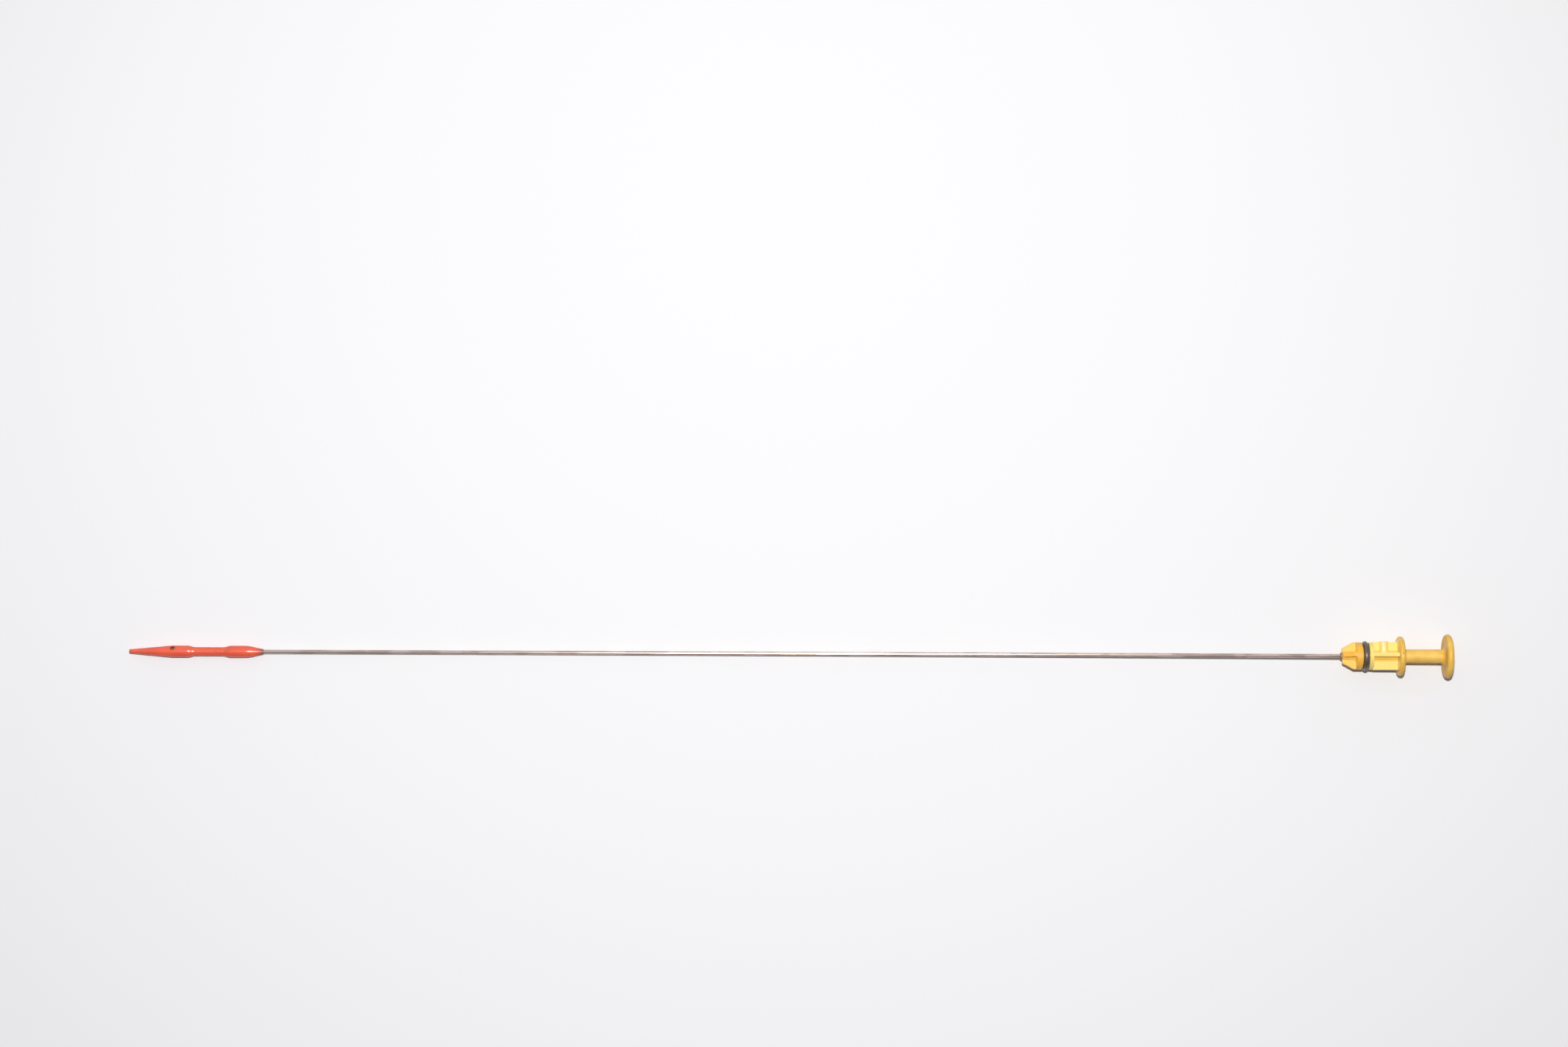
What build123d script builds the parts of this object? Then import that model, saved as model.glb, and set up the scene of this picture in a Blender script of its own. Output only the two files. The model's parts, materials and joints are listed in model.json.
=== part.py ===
from build123d import *
import os
from math import degrees

# An engine oil dipstick, lying on a flat surface as it comes to rest when it is put down.
# A yellow plastic handle and a red plastic tip are moulded onto the two ends of a steel wire.
# The handle's plug closes the opening that the wire goes down, and a rubber ring in its groove
# seals it. The tip and the rim of the handle's button touch the surface, and the wire bows down
# a little between them. Millimetres, +Z up, +X from the tip to the handle, and the origin on the
# surface, under the middle of the part.

# Stem wire. Each end is upset to a small head, which anchors it in the plastic.
wire_diameter = 1.8
wire_free_length = 490.1
head_diameter = 2.8
head_length = 1.2
head_cone_length = 0.8

# Gauge tip, in order from its point.
point_diameter = 1.8
point_edge_bevel = 0.3
point_length = 19.6
land_diameter = 5.4
front_land_length = 7.7
shoulder_length = 2.2
neck_diameter = 4.0
neck_length = 14.0
rear_land_length = 8.6
tail_length = 7.0
tail_lip = 0.2
wire_to_point = 14.0
pin_hole_diameter = 2.0
pin_hole_past_point = 0.2
tip_roll = 40.3

# Handle, in order from its nose: a collar round the wire, the nose, the pilot, the ring's
# groove, the guard, the ribs, the flange, the shank and the button.
wire_collar_diameter = 3.0
wire_collar_length = 0.9
wire_collar_edge_bevel = 0.2
nose_diameter = 7.0
nose_length = 5.0
nose_edge_bevel = 0.25
pilot_diameter = 12.4
pilot_length = 3.9
groove_side_gap = 0.25
groove_edge_bevel = 0.2
guard_length = 1.9
rib_diameter = 12.8
rib_length = 11.3
flange_diameter = 18.0
flange_thickness = 2.5
flange_edge_bevel = 0.6
shank_diameter = 6.2
shank_length = 18.7
shank_front_fillet = 1.3
shank_rear_fillet = 1.8
button_diameter = 20.0
button_thickness = 3.0
button_inner_edge_bevel = 0.5
button_outer_edge_bevel = 0.9
wire_past_flange = 10.0
handle_roll = 10.7

# The recesses leave four ribs round a core, in the nose and again behind the ring.
rib_thickness = 1.9
core_diameter = 4.3
core_corner_radius = 0.3
nose_recess_past_cone = 1.1
nose_recess_ramp = 0.8

# Half-round crush bead across one recess, which keeps the plug from rattling.
bead_radius = 1.95
bead_past_guard = 5.05
bead_height_over_ribs = 0.25

# Sealing ring. It is soft, so its round section is plain, with this many sides.
ring_section = 2.4
ring_outer_diameter = 13.5
ring_sides = 12

# Places along the handle, from the face of its nose.
groove_start = nose_length + pilot_length
groove_end = groove_start + ring_section + 2 * groove_side_gap
guard_end = groove_end + guard_length
flange_start = guard_end + rib_length
flange_end = flange_start + flange_thickness
button_start = flange_end + shank_length
handle_length = button_start + button_thickness
groove_diameter = ring_outer_diameter - 2 * ring_section

# Places along the tip, from its point.
shoulder_start = point_length + front_land_length
neck_start = shoulder_start + shoulder_length
neck_end = neck_start + neck_length
rear_land_start = neck_end + shoulder_length
tail_start = rear_land_start + rear_land_length
tip_length = tail_start + tail_length
tail_diameter = wire_diameter + 2 * tail_lip

# The tip lies level. The free wire bends up by this angle, in radians, so that the button's rim
# comes down on the surface that the tip lies on.
rim_contact = wire_collar_length + button_start + button_inner_edge_bevel
droop = (button_diameter - land_diameter) / 2 / (wire_free_length / 2 + rim_contact)


def turned(points, bevels=(), rounds=()):
    """A solid turned about X from a half section that runs from axis to axis, with its edges finished."""
    profile = make_face(Polyline(points, close=True))
    for corner, width in bevels:
        profile = chamfer(profile.vertices().sort_by_distance(corner)[0], width)
    for corner, radius in rounds:
        profile = fillet(profile.vertices().sort_by_distance(corner)[0], radius)
    return revolve(profile, Axis.X)


def wire_head():
    """The upset head on the wire's end: its flat end at x = 0, its cone towards -X."""
    wire_radius = wire_diameter / 2
    head_radius = head_diameter / 2
    points = [
        (0, 0),
        (0, head_radius),
        (-head_length, head_radius),
        (-head_length - head_cone_length, wire_radius),
        (-head_length - head_cone_length, 0),
    ]
    return turned(points)


def stem_wire(path, nose):
    """The wire: straight in the tip, one long arc, straight in the handle, with a head on each end."""
    section = Plane(origin=path @ 0, z_dir=path % 0) * Circle(wire_diameter / 2)
    wire = sweep(section, path)
    wire += Pos(wire_to_point - tip_length, 0, 0) * Rot(Z=180) * wire_head()
    wire += nose * Pos(flange_end + wire_past_flange, 0, 0) * wire_head()
    return wire


def gauge_tip():
    """The red tip, its pin hole upright: a long point, two lands with a measuring neck between, and a tail."""
    land_radius = land_diameter / 2
    neck_radius = neck_diameter / 2
    points = [
        (0, 0),
        (0, point_diameter / 2),
        (point_length, land_radius),
        (shoulder_start, land_radius),
        (neck_start, neck_radius),
        (neck_end, neck_radius),
        (rear_land_start, land_radius),
        (tail_start, land_radius),
        (tip_length, tail_diameter / 2),
        (tip_length, 0),
    ]
    tip = Pos(-tip_length, 0, 0) * turned(points, [(points[1], point_edge_bevel)])
    pin_hole = Cylinder(pin_hole_diameter / 2, 2 * land_diameter)
    hole_place = Pos(point_length + pin_hole_past_point - tip_length, 0, 0)
    return tip - hole_place * pin_hole


def handle_blank():
    """The handle as turned, before the recesses are cut."""
    pilot_radius = pilot_diameter / 2
    groove_radius = groove_diameter / 2
    flange_radius = flange_diameter / 2
    shank_radius = shank_diameter / 2
    button_radius = button_diameter / 2
    points = [
        (-wire_collar_length, 0),
        (-wire_collar_length, wire_collar_diameter / 2),
        (0, wire_collar_diameter / 2),
        (0, nose_diameter / 2),
        (nose_length, pilot_radius),
        (groove_start, pilot_radius),
        (groove_start, groove_radius),
        (groove_end, groove_radius),
        (groove_end, pilot_radius),
        (guard_end, pilot_radius),
        (guard_end, rib_diameter / 2),
        (flange_start, rib_diameter / 2),
        (flange_start, flange_radius),
        (flange_end, flange_radius),
        (flange_end, shank_radius),
        (button_start, shank_radius),
        (button_start, button_radius),
        (handle_length, button_radius),
        (handle_length, 0),
    ]
    bevels = [
        ((-wire_collar_length, wire_collar_diameter / 2), wire_collar_edge_bevel),
        ((0, nose_diameter / 2), nose_edge_bevel),
        ((groove_start, pilot_radius), groove_edge_bevel),
        ((groove_end, pilot_radius), groove_edge_bevel),
        ((flange_start, flange_radius), flange_edge_bevel),
        ((flange_end, flange_radius), flange_edge_bevel),
        ((button_start, button_radius), button_inner_edge_bevel),
        ((handle_length, button_radius), button_outer_edge_bevel),
    ]
    rounds = [
        ((flange_end, shank_radius), shank_front_fillet),
        ((button_start, shank_radius), shank_rear_fillet),
    ]
    return turned(points, bevels, rounds)


def recess(start, end):
    """One of four recesses between the ribs, from start to end along the axis."""
    reach = flange_diameter
    corner = rib_thickness / 2
    quarter = Pos(corner, corner) * Rectangle(reach, reach, align=Align.MIN)
    quarter -= Circle(core_diameter / 2)
    core_corner = ((core_diameter / 2) ** 2 - corner**2) ** 0.5
    for spot in [(core_corner, corner), (corner, core_corner)]:
        quarter = fillet(quarter.vertices().sort_by_distance(spot)[0], core_corner_radius)
    return Pos(start, 0, 0) * extrude(Plane.YZ * quarter, end - start)


def crush_bead():
    """The half-round bead on the web beside the upper rib, trimmed to a round end."""
    half_disc = Circle(bead_radius) & Rectangle(2 * bead_radius, bead_radius, align=(Align.CENTER, Align.MIN))
    tip_radius = rib_diameter / 2 + bead_height_over_ribs
    bar_place = Plane.XZ * Pos(guard_end + bead_past_guard, rib_thickness / 2)
    bar = extrude(bar_place * half_disc, -tip_radius)
    trim = Pos(guard_end + bead_past_guard, 0, 0) * Rot(Y=90) * Cylinder(tip_radius, 3 * bead_radius)
    return bar & trim


def pull_handle():
    """The yellow moulding, with its axis on X and the face of its nose at x = 0."""
    handle = handle_blank()
    recess_end = nose_length + nose_recess_past_cone
    ramp_start = recess_end - nose_recess_ramp
    ramp_points = [
        (ramp_start, 0),
        (ramp_start, core_diameter / 2),
        (recess_end, core_diameter / 2 + nose_recess_ramp),
        (recess_end, 0),
    ]
    nose_recess = recess(-2 * wire_collar_length, recess_end) - turned(ramp_points)
    rib_recess = recess(guard_end, flange_start)
    for turn in range(4):
        handle -= Rot(X=90 * turn) * nose_recess
        handle -= Rot(X=90 * turn) * rib_recess
    return handle + crush_bead()


def sealing_ring():
    """The rubber ring, seated on the floor of the groove."""
    middle = Pos((groove_start + groove_end) / 2, (ring_outer_diameter - ring_section) / 2)
    section = RegularPolygon(ring_section / 2, ring_sides, major_radius=False, rotation=180 / ring_sides)
    return revolve(middle * section, Axis.X)


bend = Plane.XZ * JernArc((0, 0), (1, 0), wire_free_length / droop, degrees(droop))
collar_plane = Plane(origin=bend @ 1, x_dir=bend % 1, z_dir=(bend % 1).cross(Vector(0, 1, 0)))
nose = collar_plane.location * Pos(wire_collar_length, 0, 0) * Rot(X=-handle_roll)
in_tip = Line((wire_to_point - tip_length, 0, 0), (0, 0, 0))
in_handle = Line(bend @ 1, (nose * Pos(flange_end + wire_past_flange, 0, 0)).position)

wire = stem_wire(in_tip + bend + in_handle, nose)
nodes = {
    "stem_wire": wire,
    "gauge_tip": Rot(X=-tip_roll) * gauge_tip() - wire,
    "pull_handle": nose * pull_handle() - wire,
    "sealing_ring": nose * sealing_ring(),
}

box = Compound(list(nodes.values())).bounding_box()
rest = Pos(-box.center().X, 0, -box.min.Z)
os.makedirs("parts", exist_ok=True)
for name, solid in nodes.items():
    export_step(rest * solid, f"parts/{name}.step")
    print(name, "volume", round(solid.volume, 1))
print("length", round(box.size.X, 2), "droop in degrees", round(degrees(droop), 3))
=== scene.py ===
import json
import math

import bmesh
import bpy
from mathutils import Euler, Matrix, Vector


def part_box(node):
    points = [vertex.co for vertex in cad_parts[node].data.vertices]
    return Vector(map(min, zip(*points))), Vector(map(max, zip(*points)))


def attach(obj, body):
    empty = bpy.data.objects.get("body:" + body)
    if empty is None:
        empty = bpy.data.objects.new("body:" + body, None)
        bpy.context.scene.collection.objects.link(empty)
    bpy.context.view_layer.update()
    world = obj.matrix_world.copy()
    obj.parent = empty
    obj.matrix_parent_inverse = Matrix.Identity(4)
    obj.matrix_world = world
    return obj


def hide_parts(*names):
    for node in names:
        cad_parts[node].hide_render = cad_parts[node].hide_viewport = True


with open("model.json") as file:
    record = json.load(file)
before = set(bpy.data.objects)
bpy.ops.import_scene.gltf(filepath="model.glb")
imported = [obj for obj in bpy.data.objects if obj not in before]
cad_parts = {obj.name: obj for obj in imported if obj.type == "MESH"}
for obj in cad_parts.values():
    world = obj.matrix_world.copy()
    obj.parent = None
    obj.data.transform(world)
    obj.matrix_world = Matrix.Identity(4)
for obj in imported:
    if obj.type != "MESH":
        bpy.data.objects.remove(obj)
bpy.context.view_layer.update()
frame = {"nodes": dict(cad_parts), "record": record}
scene = bpy.context.scene

# Stem: one length of drawn steel wire, 1.8 mm across. A small head is upset on each end, and the
# plastic of the tip and the handle is moulded round it. Lying down, the wire bows a little.
wire_radius = 0.0009
head_radius = 0.0014
head_length = 0.0012
head_cone = 0.0008
wire_in_tip = 0.0473
wire_in_handle = 0.0384
wire_sides = 32
wire_bow_steps = 160
wire_crease_angle = 30
pilot_past_nose = 0.0075
collar_length = 0.0009
steel_bright = (0.63, 0.50, 0.445, 1.0)
steel_tarnished = (0.34, 0.26, 0.225, 1.0)
steel_oily = (0.50, 0.445, 0.405, 1.0)
die_line_scale = (60, 9000, 9000)
die_line_depth = 0.00002
die_line_strength = 0.35
stain_scale = (85, 420, 420)

# A pair such as this one is where an effect starts and where it is full, here along the wire.
oil_film = (0.05, -0.20)

pilot = frame["record"]["mounts"][0]
handle_axis = -Vector(pilot["axis"])
nose_centre = Vector(pilot["pos_m"]) - pilot_past_nose * handle_axis
droop = math.asin(handle_axis.z)
collar_end = nose_centre - collar_length * handle_axis
tip_low, tip_high = (Vector(corner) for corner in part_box("gauge_tip"))
tip_axis_height = (tip_low.z + tip_high.z) / 2
tail_end = Vector((tip_high.x, 0, tip_axis_height))
bow_radius = (collar_end.x - tail_end.x) / math.sin(droop)


def drawn_on(bm, ring, shift, grow=1.0):
    """Extrudes a ring of edges by a shift, changes its size, and gives back the new ring."""
    made = bmesh.ops.extrude_edge_only(bm, edges=ring)["geom"]
    corners = [item for item in made if isinstance(item, bmesh.types.BMVert)]
    bmesh.ops.translate(bm, verts=corners, vec=shift)
    middle = sum((corner.co for corner in corners), Vector()) / len(corners)
    bmesh.ops.scale(bm, verts=corners, vec=(grow, grow, grow), space=Matrix.Translation(-middle))
    return [item for item in made if isinstance(item, bmesh.types.BMEdge)]


def finished(bm, name, crease_angle):
    """Makes an object of a bmesh, shaded smooth up to the crease angle in degrees."""
    mesh = bpy.data.meshes.new(name)
    bm.to_mesh(mesh)
    bm.free()
    mesh.shade_smooth()
    mesh.set_sharp_from_angle(angle=math.radians(crease_angle))
    piece = bpy.data.objects.new(name, mesh)
    scene.collection.objects.link(piece)
    return piece


def node(tree, kind, inputs=None, **settings):
    """Adds a shader node, gives it its settings, and sets or links its inputs."""
    made = tree.nodes.new("ShaderNode" + kind)
    for name, value in settings.items():
        setattr(made, name, value)
    for name, value in (inputs or {}).items():
        if isinstance(value, bpy.types.NodeSocket):
            tree.links.new(value, made.inputs[name])
        else:
            made.inputs[name].default_value = value
    return made


def maths(tree, operation, first, second=0.0):
    """One arithmetic step on two values."""
    return node(tree, "Math", {0: first, 1: second}, operation=operation).outputs[0]


def eased(tree, value, low, high, start=0.0, end=1.0):
    """A smooth step, from start where the value is at low to end where it is at high."""
    inputs = {"Value": value, "From Min": low, "From Max": high, "To Min": start, "To Max": end}
    return node(tree, "MapRange", inputs, interpolation_type="SMOOTHSTEP").outputs["Result"]


def mixed(tree, mask, first, second):
    """The first colour where the mask is 0 and the second where it is 1."""
    return node(tree, "Mix", {0: mask, 6: first, 7: second}, data_type="RGBA").outputs[2]


def cloud(tree, place, scale, detail=3.0, roughness=0.55):
    """A noise value between 0 and 1."""
    inputs = {"Vector": place, "Scale": scale, "Detail": detail, "Roughness": roughness}
    return node(tree, "TexNoise", inputs).outputs["Fac"]


def bumped(tree, shader, height, strength, depth):
    """Gives a shader the relief of a height, where a height of 1 stands as high as the depth."""
    bump = node(tree, "Bump", {"Height": height, "Strength": strength, "Distance": depth})
    tree.links.new(bump.outputs["Normal"], shader.inputs["Normal"])


def new_material(name):
    """An empty material, with the tree, shader and object coordinates that each finish starts from."""
    material = bpy.data.materials.new(name)
    material.use_nodes = True
    tree = material.node_tree
    shader = tree.nodes["Principled BSDF"]
    place = node(tree, "TexCoord").outputs["Object"]
    return material, tree, shader, place


steel, tree, shader, place = new_material("drawn_steel")
streak_place = node(tree, "Mapping", {"Vector": place, "Scale": die_line_scale}).outputs["Vector"]
streaks = cloud(tree, streak_place, 1.0, 2.0)
stain_place = node(tree, "Mapping", {"Vector": place, "Scale": stain_scale}).outputs["Vector"]
stains = cloud(tree, stain_place, 1.0, 4.0)
oily = eased(tree, node(tree, "SeparateXYZ", {0: place}).outputs["X"], *oil_film, 0.0, 0.8)
tarnish = eased(tree, stains, 0.45, 0.57, 0.0, 0.75)
tarnish = maths(tree, "ADD", tarnish, eased(tree, streaks, 0.5, 0.75, 0.0, 0.25))
wiped = mixed(tree, oily, steel_bright, steel_oily)
tree.links.new(mixed(tree, tarnish, wiped, steel_tarnished), shader.inputs["Base Color"])
steel_roughness = maths(tree, "MULTIPLY", tarnish, 0.05)
steel_roughness = maths(tree, "ADD", steel_roughness, eased(tree, streaks, 0.25, 0.75, 0.21, 0.27))
tree.links.new(steel_roughness, shader.inputs["Roughness"])
shader.inputs["Metallic"].default_value = 1.0
shader.inputs["Anisotropic"].default_value = 0.8
outwards = node(tree, "NewGeometry").outputs["Normal"]
round_wire = node(tree, "VectorMath", {0: outwards, 1: (1, 0, 0)}, operation="CROSS_PRODUCT")
tree.links.new(round_wire.outputs["Vector"], shader.inputs["Tangent"])
bumped(tree, shader, streaks, die_line_strength, die_line_depth)

bm = bmesh.new()
wire_start = Matrix.Translation(tail_end - Vector((wire_in_tip, 0, 0)))
wire_start = wire_start @ Matrix.Rotation(math.pi / 2, 4, "Y")
bmesh.ops.create_circle(bm, cap_ends=True, segments=wire_sides, radius=head_radius, matrix=wire_start)
ring = drawn_on(bm, list(bm.edges), Vector((head_length, 0, 0)))
ring = drawn_on(bm, ring, Vector((head_cone, 0, 0)), wire_radius / head_radius)
ring = drawn_on(bm, ring, Vector((wire_in_tip - head_length - head_cone, 0, 0)))
bow_centre = tail_end + Vector((0, 0, bow_radius))
bowed = bmesh.ops.spin(
    bm, geom=ring, cent=bow_centre, axis=(0, -1, 0), angle=droop, steps=wire_bow_steps, dvec=(0, 0, 0)
)
ring = [item for item in bowed["geom_last"] if isinstance(item, bmesh.types.BMEdge)]
ring = drawn_on(bm, ring, (wire_in_handle - head_length - head_cone) * handle_axis)
ring = drawn_on(bm, ring, head_cone * handle_axis, head_radius / wire_radius)
ring = drawn_on(bm, ring, head_length * handle_axis)
bmesh.ops.contextual_create(bm, geom=ring)
bmesh.ops.recalc_face_normals(bm, faces=bm.faces)
stem = finished(bm, "stem", wire_crease_angle)
stem.data.materials.append(steel)
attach(stem, "root")
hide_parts("stem_wire")

# Tip: a red plastic moulding on the wire's lower end, with a long point, two lands and a neck that
# shows the oil level. A core pin held the wire in the mould, and left a hole just behind the point.
# A corner of the section is its place from the point, its radius and the easing of its edge.
tip_length = tip_high.x - tip_low.x
land_radius = 0.00270
neck_radius = 0.00200
tip_corners = [
    (0.0, 0.0, 0.0),
    (0.0, 0.00090, 0.00025),
    (0.0160, 0.00237, 0.0),
    (0.0185, 0.00260, 0.0),
    (0.0196, land_radius, 0.0009),
    (0.0212, land_radius, 0.0),
    (0.0273, land_radius, 0.0008),
    (0.0295, neck_radius, 0.0008),
    (0.0435, neck_radius, 0.0008),
    (0.0457, land_radius, 0.0008),
    (0.0543, land_radius, 0.0014),
    (tip_length, 0.00110, 0.0001),
    (tip_length, 0.0, 0.0),
]
tip_roll = math.radians(40.3)
tip_steps = 96
tip_crease_angle = 25
easing_segments = 6
pin_hole_radius = 0.0010
pin_hole_place = 0.0200
pin_hole_sides = 40
core_pin_length = 0.01
oil_bottom = 0.00120
oil_level = 0.00150
oil_rim = 0.00235
oil_radius = 0.00098
oil_rim_radius = 0.00093
oil_corners = [
    (oil_bottom, 0.0, 0.0),
    (oil_bottom, oil_radius, 0.0),
    (oil_rim, oil_radius, 0.0),
    (oil_rim, oil_rim_radius, 0.0),
    (oil_level, oil_rim_radius, 0.00080),
    (oil_level, 0.0, 0.0),
]
oil_steps = 32
merge_reach = 1e-6
red_polish = 0.17
red_gloss = 0.75
red_fresh = (0.85, 0.110, 0.048, 1.0)
red_worn = (0.75, 0.093, 0.043, 1.0)
red_scuffed = (0.92, 0.22, 0.14, 1.0)
red_darker = (0.25, 0.075, 0.05, 1.0)
hole_painted_shade = (0.13, 0.03, 0.014, 1.0)

# Where the effects on the tip start and are full, from its point or from the hole's axis.
tail_wear = (tip_length - 0.0072, tip_length - 0.0042)
point_darkening = (0.0013, 0.0)
tail_darkening = (tip_length - 0.0040, tip_length)
hole_shade_edge = (pin_hole_radius + 0.00014, pin_hole_radius + 0.00004)
dimples_front = (0.0298, 0.0308)
dimples_rear = (0.0433, 0.0423)
dimple_scale = 800.0
dimple_height = 6.0
red_seam_width = 0.00007
seam_height = 1.2
skin_depth = 0.00003
skin_strength = 0.5

# The finish that both mouldings share: faint flow clouds in the colour, a fine grain, and short
# scuffs from years of being wiped. Each set of scuffs has its turn and the scale of its length.
scuff_sets = [((0.1, 0.25, 0.15), 420), ((0.9, -0.5, 0.6), 560), ((-0.4, 0.8, -0.9), 650)]
scuff_fineness = 6800
patch_scale = 320.0
flow_scale = 180.0
grain_scale = 2600.0
skin = bpy.data.node_groups.new("moulded_skin", "ShaderNodeTree")
skin.interface.new_socket("Vector", in_out="INPUT", socket_type="NodeSocketVector")
skin.interface.new_socket("Polish", in_out="INPUT", socket_type="NodeSocketFloat")
skin.interface.new_socket("Wear", in_out="INPUT", socket_type="NodeSocketFloat")
for output in ("Clouds", "Scuffs", "Roughness", "Height"):
    skin.interface.new_socket(output, in_out="OUTPUT", socket_type="NodeSocketFloat")
skin_in = skin.nodes.new("NodeGroupInput").outputs
skin_out = skin.nodes.new("NodeGroupOutput").inputs
clouds = cloud(skin, skin_in["Vector"], flow_scale, 4.0)
grain = cloud(skin, skin_in["Vector"], grain_scale, 2.0)
scuffs = 0.0
for turn, length in scuff_sets:
    scale = (length, scuff_fineness, scuff_fineness)
    inputs = {"Vector": skin_in["Vector"], "Rotation": turn, "Scale": scale}
    lines = cloud(skin, node(skin, "Mapping", inputs).outputs["Vector"], 1.0, 1.0)
    scuffs = maths(skin, "MAXIMUM", scuffs, eased(skin, lines, 0.67, 0.8))
patches = eased(skin, cloud(skin, skin_in["Vector"], patch_scale), 0.45, 0.68)
scuffs = maths(skin, "MULTIPLY", scuffs, patches)
scuffs = maths(skin, "MULTIPLY", scuffs, skin_in["Wear"])
skin_roughness = maths(skin, "ADD", skin_in["Polish"], eased(skin, clouds, 0.3, 0.7, 0.0, 0.08))
skin_roughness = maths(skin, "ADD", skin_roughness, maths(skin, "MULTIPLY", scuffs, 0.25))
skin_roughness = maths(skin, "ADD", skin_roughness, maths(skin, "MULTIPLY", skin_in["Wear"], 0.16))
scuff_height = maths(skin, "MULTIPLY", scuffs, 0.5)
skin_height = maths(skin, "SUBTRACT", maths(skin, "MULTIPLY", grain, 0.25), scuff_height)
skin.links.new(clouds, skin_out["Clouds"])
skin.links.new(scuffs, skin_out["Scuffs"])
skin.links.new(skin_roughness, skin_out["Roughness"])
skin.links.new(skin_height, skin_out["Height"])


def own_axes(tree, place, origin, turn):
    """Coordinates in a moulding's own axes, with X along it, together and one by one."""
    inputs = {"Vector": place, "Location": origin, "Rotation": turn}
    local = node(tree, "Mapping", inputs, vector_type="TEXTURE").outputs["Vector"]
    return local, node(tree, "SeparateXYZ", {0: local}).outputs


def distance(tree, first, second):
    """How far from an axis a point lies that is off it by two values at right angles."""
    offset = node(tree, "CombineXYZ", {0: first, 1: second}).outputs["Vector"]
    return node(tree, "VectorMath", {0: offset}, operation="LENGTH").outputs["Value"]


def parting_line(tree, height, half_width):
    """A mask along the line where the two halves of the mould met."""
    return eased(tree, maths(tree, "ABSOLUTE", height), half_width, 0.4 * half_width)


def spun(bm, corners, place, steps):
    """Spins a half section about X, with the edges at its corners eased."""
    before = set(bm.verts)
    line = [bm.verts.new(place @ Vector((along, radius, 0))) for along, radius, easing in corners]
    for first, second in zip(line, line[1:]):
        bm.edges.new((first, second))
    for spot, (along, radius, easing) in zip(line, corners):
        if easing:
            bmesh.ops.bevel(
                bm,
                geom=[spot],
                offset=easing,
                offset_type="OFFSET",
                affect="VERTICES",
                segments=easing_segments,
                profile=0.5,
                material=-1,
            )
    section = [spot for spot in bm.verts if spot not in before]
    section += {edge for spot in section for edge in spot.link_edges}
    bmesh.ops.spin(
        bm,
        geom=section,
        cent=place.translation,
        axis=place.to_3x3() @ Vector((1, 0, 0)),
        angle=2 * math.pi,
        steps=steps,
        dvec=(0, 0, 0),
        use_merge=True,
    )


def closed(bm, reach):
    """Merges the corners that lie within reach of each other and turns every face outwards."""
    bmesh.ops.remove_doubles(bm, verts=bm.verts, dist=reach)
    bmesh.ops.recalc_face_normals(bm, faces=bm.faces)


def combined(piece, other, operation, crease_angle):
    """Cuts or joins a piece with another one, which is then gone, and marks its creases anew."""
    step = piece.modifiers.new(other.name, "BOOLEAN")
    step.object = other
    step.operation = operation
    step.solver = "EXACT"
    evaluated = piece.evaluated_get(bpy.context.evaluated_depsgraph_get())
    whole = bpy.data.meshes.new_from_object(evaluated)
    piece.modifiers.clear()
    piece.data = whole
    whole.set_sharp_from_angle(angle=math.radians(crease_angle))
    bpy.data.objects.remove(other)


red_plastic, tree, shader, place = new_material("moulded_red")
local, axes = own_axes(tree, place, tail_end, Euler((-tip_roll, 0, 0)))
from_point = maths(tree, "ADD", axes["X"], tip_length)
wear = eased(tree, from_point, *tail_wear, 0.3, 1.0)
finish = node(tree, "Group", {"Vector": local, "Polish": red_polish, "Wear": wear}, node_tree=skin)
red = mixed(tree, eased(tree, finish.outputs["Clouds"], 0.35, 0.7), red_fresh, red_worn)
red = mixed(tree, finish.outputs["Scuffs"], red, red_scuffed)
# The red is made darker and browner towards the point and towards the tail end.
near_point = eased(tree, from_point, *point_darkening, 0.0, 0.6)
near_tail = eased(tree, from_point, *tail_darkening, 0.0, 0.9)
red = mixed(tree, maths(tree, "ADD", near_point, near_tail), red, red_darker)
# Inside the pin hole and just round its mouth the red is darkened: painted shade.
from_hole = distance(tree, maths(tree, "SUBTRACT", from_point, pin_hole_place), axes["Y"])
red = mixed(tree, eased(tree, from_hole, *hole_shade_edge, 0.0, 0.9), red, hole_painted_shade)
tree.links.new(red, shader.inputs["Base Color"])
shader.inputs["Specular IOR Level"].default_value = red_gloss
tree.links.new(finish.outputs["Roughness"], shader.inputs["Roughness"])
seam = maths(tree, "MULTIPLY", parting_line(tree, axes["Z"], red_seam_width), seam_height)
relief = maths(tree, "ADD", finish.outputs["Height"], seam)
past_front = eased(tree, from_point, *dimples_front)
before_rear = eased(tree, from_point, *dimples_rear)
on_neck = maths(tree, "MULTIPLY", past_front, before_rear)
dimples = maths(tree, "MULTIPLY", cloud(tree, local, dimple_scale, 1.0), on_neck)
relief = maths(tree, "ADD", relief, maths(tree, "MULTIPLY", dimples, dimple_height))
bumped(tree, shader, relief, skin_strength, skin_depth)

bm = bmesh.new()
tip_point = Vector((tip_low.x, 0, tip_axis_height))
spun(bm, tip_corners, Matrix.Translation(tip_point), tip_steps)
closed(bm, merge_reach)
tip = finished(bm, "tip", tip_crease_angle)
tip.data.materials.append(red_plastic)

bm = bmesh.new()
hole_place = Matrix.Translation(tip_point + Vector((pin_hole_place, 0, 0)))
hole_place = hole_place @ Matrix.Rotation(-tip_roll, 4, "X")
bmesh.ops.create_cone(
    bm,
    cap_ends=True,
    segments=pin_hole_sides,
    radius1=pin_hole_radius,
    radius2=pin_hole_radius,
    depth=core_pin_length,
    matrix=hole_place,
)
core_pin = finished(bm, "core_pin", tip_crease_angle)
core_pin.data.materials.append(red_plastic)
combined(tip, core_pin, "DIFFERENCE", tip_crease_angle)

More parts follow.
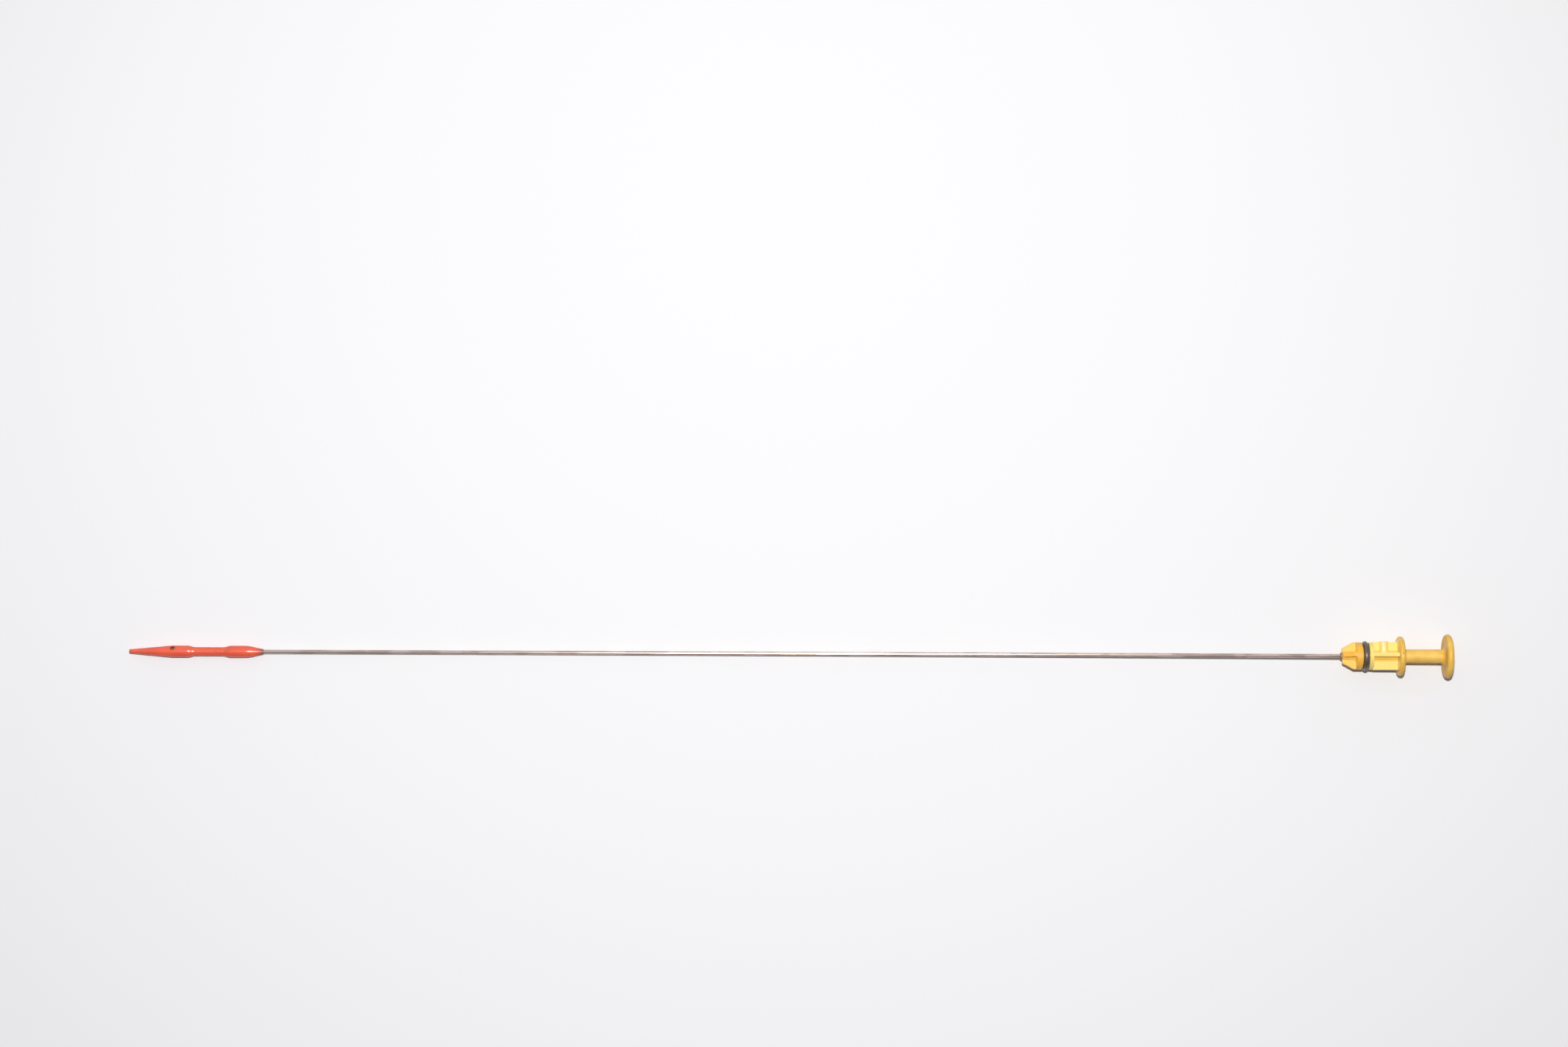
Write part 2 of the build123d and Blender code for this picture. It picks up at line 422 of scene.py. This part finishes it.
# A drop of old oil stands in the hole's upper mouth.
bm = bmesh.new()
bm.from_mesh(tip.data)
spun(bm, oil_corners, hole_place @ Matrix.Rotation(-math.pi / 2, 4, "Y"), oil_steps)
closed(bm, merge_reach)
bm.to_mesh(tip.data)
bm.free()
tip.data.set_sharp_from_angle(angle=math.radians(tip_crease_angle))
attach(tip, "root")
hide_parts("gauge_tip")

# Handle: a yellow plastic moulding on the wire's upper end. Its plug has four ribs round a core,
# with a groove for the ring. The flange stops the plug, and fingers pull on the button's rim.
# Places are from the face of its nose, and a corner of the section is written as on the tip.
handle_roll = math.radians(10.7)
nose_radius = 0.0035
nose_length = 0.0050
nose_recess_end = 0.0061
pilot_radius = 0.0062
ring_middle = 0.01035
rib_side = 0.00096
bead_start = 0.0167
bead_end = 0.0208
bead_foot = 0.0005
flange_start = 0.0250
flange_end = 0.0275
flange_radius = 0.0090
shank_radius = 0.0031
button_start = 0.0462
button_end = 0.0492
button_radius = 0.0100
gate_floor = 0.0490
gate_stub = 0.04915
rear_corners = [
    (flange_start, 0.0, 0.0),
    (flange_start, flange_radius, 0.0011),
    (flange_end, flange_radius, 0.0011),
    (flange_end, shank_radius, 0.0013),
    (button_start, shank_radius, 0.0018),
    (button_start, button_radius, 0.0014),
    (button_end, button_radius, 0.0015),
    (button_end, 0.0018, 0.0001),
    (gate_floor, 0.0016, 0.0001),
    (gate_floor, 0.0006, 0.0),
    (gate_stub, 0.0005, 0.00008),
    (gate_stub, 0.0, 0.0),
]
rear_steps = 128
handle_edge_radius = 0.00014
handle_edge_angle = 32
handle_crease_angle = 26
handle_merge_reach = 5e-6
recess_foot_radius = 0.0005
recess_foot_shortest = 0.001
recess_wall_slack = 2e-5
rounding_segments = 4
flat_angle = 0.5
cut_before_flange = 0.0001
cut_slack = 1e-7
stub_length = 0.0008
yellow_oiled = (0.89, 0.475, 0.056, 1.0)
yellow_recess_sheen = (0.93, 0.565, 0.095, 1.0)
yellow_painted_sheen = (0.95, 0.725, 0.21, 1.0)
yellow_painted_core_shade = (0.92, 0.60, 0.11, 1.0)
yellow_painted_highlight = (0.96, 0.77, 0.35, 1.0)
yellow_dull = (0.82, 0.475, 0.067, 1.0)
yellow_scuffed = (0.93, 0.66, 0.22, 1.0)
brown_dirt_and_shade = (0.20, 0.115, 0.035, 1.0)
collar_darker = (0.26, 0.185, 0.095, 1.0)
speck_place = (0.0263, 0.0, 0.0090)

# Where the effects on the handle start and are full: along it, out from its axis, in from its
# outline, or away from the middle of the bead's crest or of the speck.
dry_and_sheen_part = (ring_middle - 0.0004, ring_middle + 0.0012)
handled_part = (flange_start - 0.0003, flange_start + 0.0002)
groove_front = (0.0084, 0.0089)
groove_rear = (0.0123, 0.0118)
recess_sheen_depth = (0.0001, 0.0004)
core_shade_reach = (0.0031, 0.0024)
crest_highlight_width = (0.0011, 0.0005)
crest_highlight_side = (0.0009, 0.0011)
crest_highlight_height = (0.0018, 0.0025)
shank_corner = (0.0058, 0.0034)
flange_corner = (flange_end + 0.0022, flange_end)
button_corner = (button_start - 0.0028, button_start)
button_inside = (button_start + 0.0008, button_start + 0.0003)
speck_edge = (0.0006, 0.0004)
speck_raggedness = 0.0002
collar_darkening = (0.0001, -0.0002)
dirt_scale = 700.0
yellow_seam_width = 0.00009

yellow_plastic, tree, shader, place = new_material("moulded_yellow")
handle_turn = Euler((-handle_roll, -droop, 0))
local, axes = own_axes(tree, place, nose_centre, handle_turn)
along = axes["X"]
from_axis = distance(tree, axes["Y"], axes["Z"])
# Behind the ring the plastic is polished, and its colour there is made paler: a painted sheen.
dry_and_sheen = eased(tree, along, *dry_and_sheen_part)
handled = eased(tree, along, *handled_part)
not_handled = maths(tree, "SUBTRACT", 1.0, handled)
polish = eased(tree, dry_and_sheen, 0.0, 1.0, 0.28, 0.13)
polish = maths(tree, "ADD", polish, maths(tree, "MULTIPLY", handled, 0.13))
wear = eased(tree, along, flange_start, flange_end, 0.25, 0.9)
finish = node(tree, "Group", {"Vector": local, "Polish": polish, "Wear": wear}, node_tree=skin)

outline = {"Value": along, "From Max": nose_length, "To Min": nose_radius, "To Max": pilot_radius}
depth = maths(tree, "SUBTRACT", node(tree, "MapRange", outline).outputs["Result"], from_axis)
past_front = eased(tree, along, *groove_front)
before_rear = eased(tree, along, *groove_rear)
in_groove = maths(tree, "MULTIPLY", past_front, before_rear)
# In the nose the faces sunk below the outline are made paler: a painted sheen.
recess_sheen = maths(tree, "MULTIPLY", eased(tree, depth, *recess_sheen_depth), not_handled)
recess_sheen = maths(tree, "MULTIPLY", recess_sheen, maths(tree, "SUBTRACT", 1.0, in_groove))
# A stripe along the crush bead's crest is made paler and whiter: a painted highlight.
from_crest = maths(tree, "SUBTRACT", along, (bead_start + bead_end) / 2)
crest_highlight = eased(tree, maths(tree, "ABSOLUTE", from_crest), *crest_highlight_width)
crest_highlight = maths(tree, "MULTIPLY", crest_highlight, eased(tree, axes["Y"], *crest_highlight_side))
crest_highlight = maths(tree, "MULTIPLY", crest_highlight, eased(tree, axes["Z"], *crest_highlight_height))
# Close to the core, deep in the recesses, the yellow is made deeper and more orange: painted shade.
painted_dry_yellow = mixed(tree, eased(tree, from_axis, *core_shade_reach), yellow_painted_sheen, yellow_painted_core_shade)
painted_dry_yellow = mixed(tree, crest_highlight, painted_dry_yellow, yellow_painted_highlight)
yellow = mixed(tree, recess_sheen, yellow_oiled, yellow_recess_sheen)
yellow = mixed(tree, dry_and_sheen, yellow, painted_dry_yellow)
dulling = eased(tree, finish.outputs["Clouds"], 0.28, 0.62, 0.55, 1.0)
yellow = mixed(tree, maths(tree, "MULTIPLY", handled, dulling), yellow, yellow_dull)
yellow = mixed(tree, finish.outputs["Scuffs"], yellow, yellow_scuffed)

# The corners at both ends of the shank and the groove are darkened brown: partly dirt, partly painted
# shade. The speck on the flange is dirt.
dirt_clouds = eased(tree, cloud(tree, local, dirt_scale, 4.0), 0.38, 0.68)
by_flange = eased(tree, along, *flange_corner)
by_button = eased(tree, along, *button_corner)
by_button = maths(tree, "MULTIPLY", by_button, eased(tree, along, *button_inside))
corner_dirt_and_shade = maths(tree, "MAXIMUM", by_flange, by_button)
corner_dirt_and_shade = maths(tree, "MULTIPLY", corner_dirt_and_shade, eased(tree, from_axis, *shank_corner))
corner_dirt_and_shade = maths(tree, "MULTIPLY", corner_dirt_and_shade, handled)
dirt_and_shade = maths(tree, "ADD", corner_dirt_and_shade, maths(tree, "MULTIPLY", in_groove, 0.5))
dirt_and_shade = maths(tree, "MULTIPLY", dirt_and_shade, maths(tree, "MULTIPLY", dirt_clouds, 0.3))
from_speck = node(tree, "VectorMath", {0: local, 1: speck_place}, operation="DISTANCE").outputs["Value"]
from_speck = maths(tree, "ADD", from_speck, maths(tree, "MULTIPLY", dirt_clouds, speck_raggedness))
dirt_and_shade = maths(tree, "MAXIMUM", dirt_and_shade, eased(tree, from_speck, *speck_edge, 0.0, 0.55))
yellow = mixed(tree, dirt_and_shade, yellow, brown_dirt_and_shade)
# The small collar before the nose face is made a darker brown.
yellow = mixed(tree, eased(tree, along, *collar_darkening), yellow, collar_darker)
tree.links.new(yellow, shader.inputs["Base Color"])
tree.links.new(finish.outputs["Roughness"], shader.inputs["Roughness"])
seam = maths(tree, "MULTIPLY", parting_line(tree, axes["Z"], yellow_seam_width), seam_height)
relief = maths(tree, "ADD", finish.outputs["Height"], seam)
bumped(tree, shader, relief, skin_strength, skin_depth)

to_handle = Matrix.Translation(nose_centre) @ handle_turn.to_matrix().to_4x4()
from_handle = to_handle.inverted()


def at_recess_end(edge):
    """Whether an edge is a long one in the wall at the end of the nose's recesses."""
    places = [(from_handle @ corner.co).x for corner in edge.verts]
    in_wall = all(abs(place - nose_recess_end) < recess_wall_slack for place in places)
    return in_wall and edge.calc_length() > recess_foot_shortest


def on_bead(edge):
    """Whether an edge is one of the crush bead's own, which stay as they are."""
    middle = from_handle @ ((edge.verts[0].co + edge.verts[1].co) / 2)
    return bead_start < middle.x < bead_end and middle.y > rib_side and middle.z > bead_foot


# The plug is a merged copy of the CAD solid, with its outward edges rounded as a moulding's are. It
# is cut at the flange, and joined to a spun flange, shank and button.
plug_mesh = frame["nodes"]["pull_handle"].data.copy()
plug_mesh.attributes.remove(plug_mesh.attributes["custom_normal"])
bm = bmesh.new()
bm.from_mesh(plug_mesh)
bpy.data.meshes.remove(plug_mesh)
bmesh.ops.remove_doubles(bm, verts=bm.verts, dist=merge_reach)
bmesh.ops.dissolve_limit(bm, angle_limit=math.radians(flat_angle), verts=bm.verts, edges=bm.edges)
feet = [edge for edge in bm.edges if edge.is_manifold and not edge.is_convex and at_recess_end(edge)]
bmesh.ops.bevel(
    bm,
    geom=feet,
    offset=recess_foot_radius,
    offset_type="OFFSET",
    affect="EDGES",
    segments=rounding_segments,
    profile=0.5,
    material=-1,
)
edges = [edge for edge in bm.edges if edge.is_manifold and edge.is_convex]
edges = [edge for edge in edges if edge.calc_face_angle() > math.radians(handle_edge_angle)]
edges = [edge for edge in edges if not on_bead(edge)]
bmesh.ops.bevel(
    bm,
    geom=edges,
    offset=handle_edge_radius,
    offset_type="OFFSET",
    affect="EDGES",
    segments=rounding_segments,
    profile=0.5,
    material=-1,
    clamp_overlap=False,
    miter_outer="ARC",
    loop_slide=True,
)
cut = bmesh.ops.bisect_plane(
    bm,
    geom=list(bm.verts) + list(bm.edges) + list(bm.faces),
    dist=cut_slack,
    plane_co=nose_centre + (flange_start - cut_before_flange) * handle_axis,
    plane_no=handle_axis,
    clear_outer=True,
)
ring = [item for item in cut["geom_cut"] if isinstance(item, bmesh.types.BMEdge)]
ring = drawn_on(bm, ring, stub_length * handle_axis)
bmesh.ops.bridge_loops(bm, edges=ring)
closed(bm, handle_merge_reach)
handle = finished(bm, "handle", handle_crease_angle)
handle.data.materials.append(yellow_plastic)

bm = bmesh.new()
spun(bm, rear_corners, to_handle, rear_steps)
closed(bm, handle_merge_reach)
pull = finished(bm, "pull", handle_crease_angle)
pull.data.materials.append(yellow_plastic)
combined(handle, pull, "UNION", handle_crease_angle)
even_shading = handle.modifiers.new("even_shading", "WEIGHTED_NORMAL")
even_shading.keep_sharp = True
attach(handle, "root")
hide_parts("pull_handle")

# Sealing ring: a black rubber O-ring, stretched into the plug's groove. It was moulded in two
# halves, which left a fine line round the outside, and oil leaves patches of shine on it.
ring_section_radius = 0.0012
ring_outer_radius = 0.00675
ring_section_sides = 28
ring_steps = 112
ring_crease_angle = 40
ring_line_width = 0.00008
ring_outside = (0.0062, 0.0065)
bloom_scale = 520.0
pit_scale = 4200.0
pit_height = 0.3
rubber_gloss = 1.0
rubber_black = (0.038, 0.024, 0.017, 1.0)
rubber_grey = (0.092, 0.057, 0.038, 1.0)

rubber, tree, shader, place = new_material("oily_rubber")
local, axes = own_axes(tree, place, nose_centre, handle_turn)
bloom = cloud(tree, local, bloom_scale, 4.0)
pits = cloud(tree, local, pit_scale, 2.0)
black = mixed(tree, eased(tree, bloom, 0.35, 0.7), rubber_black, rubber_grey)
tree.links.new(black, shader.inputs["Base Color"])
tree.links.new(eased(tree, bloom, 0.3, 0.7, 0.29, 0.37), shader.inputs["Roughness"])
shader.inputs["Specular IOR Level"].default_value = rubber_gloss
mould_line = parting_line(tree, maths(tree, "SUBTRACT", axes["X"], ring_middle), ring_line_width)
outside = eased(tree, distance(tree, axes["Y"], axes["Z"]), *ring_outside)
mould_line = maths(tree, "MULTIPLY", mould_line, outside)
relief = maths(tree, "ADD", maths(tree, "MULTIPLY", pits, pit_height), mould_line)
bumped(tree, shader, relief, skin_strength, skin_depth)

bm = bmesh.new()
ring_radius = ring_outer_radius - ring_section_radius
section_place = to_handle @ Matrix.Translation((ring_middle, ring_radius, 0))
bmesh.ops.create_circle(
    bm, segments=ring_section_sides, radius=ring_section_radius, matrix=section_place
)
bmesh.ops.spin(
    bm,
    geom=list(bm.verts) + list(bm.edges),
    cent=nose_centre,
    axis=handle_axis,
    angle=2 * math.pi,
    steps=ring_steps,
    dvec=(0, 0, 0),
    use_merge=True,
)
closed(bm, merge_reach)
o_ring = finished(bm, "o_ring", ring_crease_angle)
o_ring.data.materials.append(rubber)
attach(o_ring, "root")
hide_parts("sealing_ring")

# Floor: a plain white sheet that the part lies on, large enough to fill every view. It keeps the
# part's shadow, and far from the part it takes the colour of the room.
floor_radius = 12.0
floor_sides = 64
floor_crease_angle = 30
floor_white = (0.865, 0.872, 0.882, 1.0)
floor_bounce = (0.52, 0.52, 0.53, 1.0)
far_white = (0.78, 0.78, 0.785, 1.0)
far_part = (0.36, 0.75)


def seen(tree):
    """A mask that is 1 where the camera or a reflection looks, and 0 for light that bounces about."""
    rays = node(tree, "LightPath").outputs
    mirrored = maths(tree, "MAXIMUM", rays["Is Glossy Ray"], rays["Is Transmission Ray"])
    return maths(tree, "MAXIMUM", rays["Is Camera Ray"], mirrored)


bm = bmesh.new()
bmesh.ops.create_circle(bm, cap_ends=True, segments=floor_sides, radius=floor_radius)
floor = finished(bm, "floor", floor_crease_angle)
paper, tree, shader, place = new_material("white_paper")
tree.links.new(mixed(tree, seen(tree), floor_bounce, floor_white), shader.inputs["Base Color"])
shader.inputs["Roughness"].default_value = 0.9
shader.inputs["Specular IOR Level"].default_value = 0.0
from_middle = node(tree, "VectorMath", {0: place}, operation="LENGTH").outputs["Value"]
far_off = maths(tree, "MULTIPLY", eased(tree, from_middle, *far_part), seen(tree))
far_paper = node(tree, "Emission", {"Color": far_white}).outputs["Emission"]
near_paper = shader.outputs["BSDF"]
whole_floor = node(tree, "MixShader", {0: far_off, 1: near_paper, 2: far_paper})
tree.links.new(whole_floor.outputs["Shader"], tree.nodes["Material Output"].inputs["Surface"])
floor.data.materials.append(paper)

# Light: one small soft lamp over the part, a little behind the camera, and a pale room round it
# that is darker in front.
lamp_size = 0.05
lamp_place = Vector((-0.002, 0.207, 1.38))
lamp_power = 17.6
room_back = (0.95, 0.93, 0.94, 1.0)
room_front = (0.38, 0.345, 0.355, 1.0)
bounce_back = (0.37, 0.35, 0.36, 1.0)
bounce_front = (0.05, 0.035, 0.035, 1.0)
room_fade = (-0.4, 0.05)
bounce_fade = (-0.6, 0.6)

lamp_light = bpy.data.lights.new("lamp", "AREA")
lamp_light.shape = "DISK"
lamp_light.size = lamp_size
lamp_light.energy = lamp_power
lamp = bpy.data.objects.new("lamp", lamp_light)
lamp.location = lamp_place
scene.collection.objects.link(lamp)

room = bpy.data.worlds.new("room")
scene.world = room
room.use_nodes = True
tree = room.node_tree
aim = node(tree, "SeparateXYZ", {0: node(tree, "TexCoord").outputs["Generated"]}).outputs
room_seen = mixed(tree, eased(tree, aim["Y"], *room_fade), room_front, room_back)
bounce = mixed(tree, eased(tree, aim["Y"], *bounce_fade), bounce_front, bounce_back)
room_colour = mixed(tree, seen(tree), bounce, room_seen)
room_colour = mixed(tree, node(tree, "LightPath").outputs["Is Camera Ray"], room_colour, far_white)
tree.links.new(room_colour, tree.nodes["Background"].inputs["Color"])
scene.view_settings.view_transform = "Standard"

# Camera: straight above the part, with a long lens. Its place and its small turn put the part where
# it lies in the photograph.
camera_sensor = 36.0
camera_lens = 69.3
camera_place = Vector((-0.0023, 0.0593, 1.3803))
camera_turn = math.radians(0.195)

camera_data = bpy.data.cameras.new("camera")
camera_data.sensor_width = camera_sensor
camera_data.lens = camera_lens
camera = bpy.data.objects.new("camera", camera_data)
camera.location = camera_place
camera.rotation_euler = (0, 0, camera_turn)
scene.collection.objects.link(camera)
scene.camera = camera
